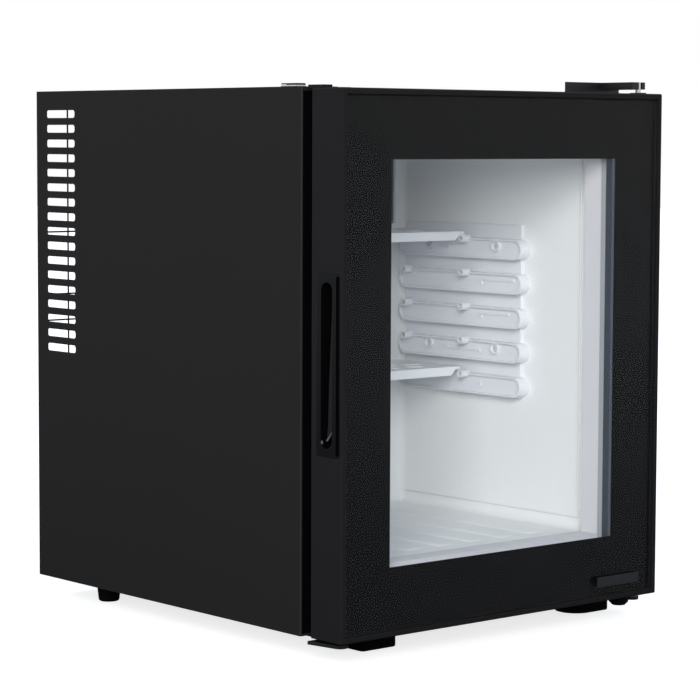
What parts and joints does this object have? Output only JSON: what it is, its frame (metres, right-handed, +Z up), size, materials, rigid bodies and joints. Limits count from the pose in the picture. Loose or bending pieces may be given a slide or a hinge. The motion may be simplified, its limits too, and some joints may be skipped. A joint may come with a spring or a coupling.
{
  "type": "minibar fridge",
  "caption": "Compact absorption minibar with a reversible framed glass door, side finger grip, perforated shelves on moulded rails, short feet and a vented rear cooling unit.",
  "frame": {"origin": "on the floor, under the middle of the box round the whole part", "axes": "+Z up, the door faces -Y, +X to the right of someone facing the door, where its hinges are"},
  "size_m": [0.385, 0.451, 0.4951],
  "materials": {
    "cabinet_sheet": "satin dark powder coat",
    "plain_steel": "zinc-coated sheet",
    "foam": null,
    "inner_white": "satin white moulding",
    "liner_white": "matt off-white moulding",
    "frame_black": "fine-grained dark moulding",
    "clear_glass": "clear, polished edges",
    "black_print": "black enamel behind the glass",
    "spacer_metal": "slate anodised",
    "bead_grey": "light grey extrusion",
    "seal_rubber": "soft black",
    "magnet": "bonded ferrite strip",
    "grip_black": "satin dark moulding, glossy scoop",
    "badge": "dark brushed, blank",
    "hinge_black": "black powder coat",
    "bright_steel": "bright plated",
    "bush_plastic": "plain dark moulding",
    "foot_rubber": "firm black",
    "fin_aluminium": "bare",
    "unit_black": "dull black paint on steel tube",
    "boiler_jacket": "grey painted sheet jacket",
    "heater_steel": "drawn steel sleeve",
    "control_black": "grained dark moulding"
  },
  "bodies": {
    "cabinet": {"left_side_panel": "cabinet_sheet", "right_side_panel": "cabinet_sheet", "top_panel": "cabinet_sheet", "base_panel": "cabinet_sheet", "rear_bulkhead": "plain_steel", "insulation_foam": "foam", "inner_liner": "inner_white", "shelf_rail_left": "inner_white", "shelf_rail_right": "inner_white", "rail_screws": "inner_white", "evaporator_fins": "fin_aluminium", "evaporator_pipe": "unit_black", "gas_heat_exchanger": "unit_black", "absorber_vessel": "unit_black", "absorber_coil": "unit_black", "boiler_housing": "boiler_jacket", "heater_cartridge": "heater_steel", "solution_pipe": "unit_black", "condenser_tube": "unit_black", "condenser_fin_row": "fin_aluminium", "unit_brackets": "plain_steel", "rear_guard": "unit_black", "control_box": "control_black", "thermostat_body": "bush_plastic", "power_gland": "foot_rubber", "top_hinge_shim": "hinge_black", "top_hinge_arm": "hinge_black", "top_hinge_pin": "bright_steel", "bottom_hinge_plate": "hinge_black", "bottom_hinge_pin": "bright_steel", "spare_hinge_plate": "hinge_black", "spare_hinge_cover": "frame_black", "hinge_screws": "bright_steel", "front_foot_left": "foot_rubber", "front_foot_right": "foot_rubber", "rear_foot_left": "foot_rubber", "rear_foot_right": "foot_rubber"},
    "door": {"door_frame": "frame_black", "front_glass": "clear_glass", "glass_print": "black_print", "glass_spacer": "spacer_metal", "rear_glass": "clear_glass", "glass_bead": "bead_grey", "door_liner": "liner_white", "door_gasket": "seal_rubber", "gasket_magnets": "magnet", "handle_grip": "grip_black", "badge_plate": "badge", "door_bush_top": "bush_plastic", "door_bush_bottom": "bush_plastic", "spare_bush_cover": "frame_black", "door_stop_button": "foot_rubber"},
    "shelf_upper": {"shelf_upper": "inner_white"},
    "shelf_lower": {"shelf_lower": "inner_white"},
    "thermostat_dial": {"thermostat_dial": "control_black"}
  },
  "joints": [
    {"name": "door_hinge", "type": "hinge", "parent": "cabinet", "child": "door", "pos_m": [0.1785, -0.208, 0], "axis": [0, 0, 1], "range_deg": [0, 115]},
    {"name": "upper_shelf_slide", "type": "slide", "parent": "cabinet", "child": "shelf_upper", "axis": [0, -1, 0], "range_m": [0, 0.085]},
    {"name": "lower_shelf_slide", "type": "slide", "parent": "cabinet", "child": "shelf_lower", "axis": [0, -1, 0], "range_m": [0, 0.085]},
    {"name": "dial_turn", "type": "hinge", "parent": "cabinet", "child": "thermostat_dial", "pos_m": [0.1573, 0.2135, 0.0847], "axis": [0, 1, 0], "range_deg": [0, 270]}
  ]
}
